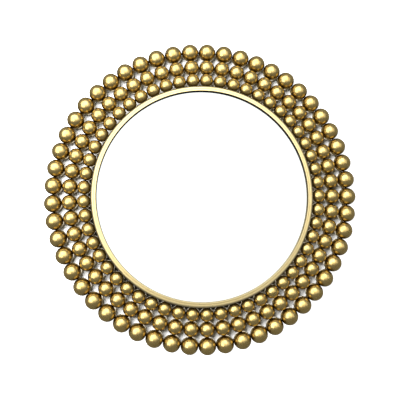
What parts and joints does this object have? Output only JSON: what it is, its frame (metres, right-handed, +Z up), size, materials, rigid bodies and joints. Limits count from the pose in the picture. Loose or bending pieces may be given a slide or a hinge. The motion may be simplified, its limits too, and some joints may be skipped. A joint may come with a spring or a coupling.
{
  "type": "wall mirror",
  "caption": "Round flat wall mirror in a raised rim, framed by concentric rows of touching metal balls on hoops and stays, with swinging hanger rings behind.",
  "frame": {"origin": "the mirror's centre, on the wall plane that its rubber bumpers rest on", "axes": "+Y from the mirror into the wall, along the mirror's axis; the glass faces -Y; +Z up; +X to the right for someone who faces the glass"},
  "size_m": [0.8123, 0.0617, 0.8126],
  "materials": {
    "antique_gold": "satin antique gold leaf finish on hollow steel balls",
    "rim_gold": "satin antique gold, paler where the edge is rubbed",
    "frame_steel": "steel sprayed antique gold-brown, satin",
    "zinc_steel": "zinc plated, satin",
    "mirror": "silvered flat glass",
    "fibreboard": "raw medium-density fibreboard",
    "bumper_rubber": "matt black rubber"
  },
  "bodies": {
    "root": {"bead_row_outer": "antique_gold", "bead_row_middle": "antique_gold", "bead_row_inner": "antique_gold", "rim_hoop": "rim_gold", "glass_lip_ring": "rim_gold", "mirror_glass": "mirror", "back_board": "fibreboard", "outer_hoop": "frame_steel", "middle_hoop": "frame_steel", "radial_stay_1": "frame_steel", "radial_stay_2": "frame_steel", "radial_stay_3": "frame_steel", "radial_stay_4": "frame_steel", "radial_stay_5": "frame_steel", "radial_stay_6": "frame_steel", "radial_stay_7": "frame_steel", "radial_stay_8": "frame_steel", "hanger_plate_left": "frame_steel", "hanger_plate_right": "frame_steel", "board_clips": "zinc_steel", "hanger_straps": "zinc_steel", "hanger_rivets": "zinc_steel", "wall_bumpers": "bumper_rubber"},
    "hanger_ring_left": {"hanger_ring_left": "zinc_steel"},
    "hanger_ring_right": {"hanger_ring_right": "zinc_steel"}
  },
  "joints": [
    {"name": "hanger_ring_left_swing", "type": "hinge", "parent": "root", "child": "hanger_ring_left", "pos_m": [-0.18, -0.00663, 0.20444], "axis": [1, 0, 0], "range_deg": [0, 180]},
    {"name": "hanger_ring_right_swing", "type": "hinge", "parent": "root", "child": "hanger_ring_right", "pos_m": [0.18, -0.00663, 0.20444], "axis": [1, 0, 0], "range_deg": [0, 180]}
  ]
}
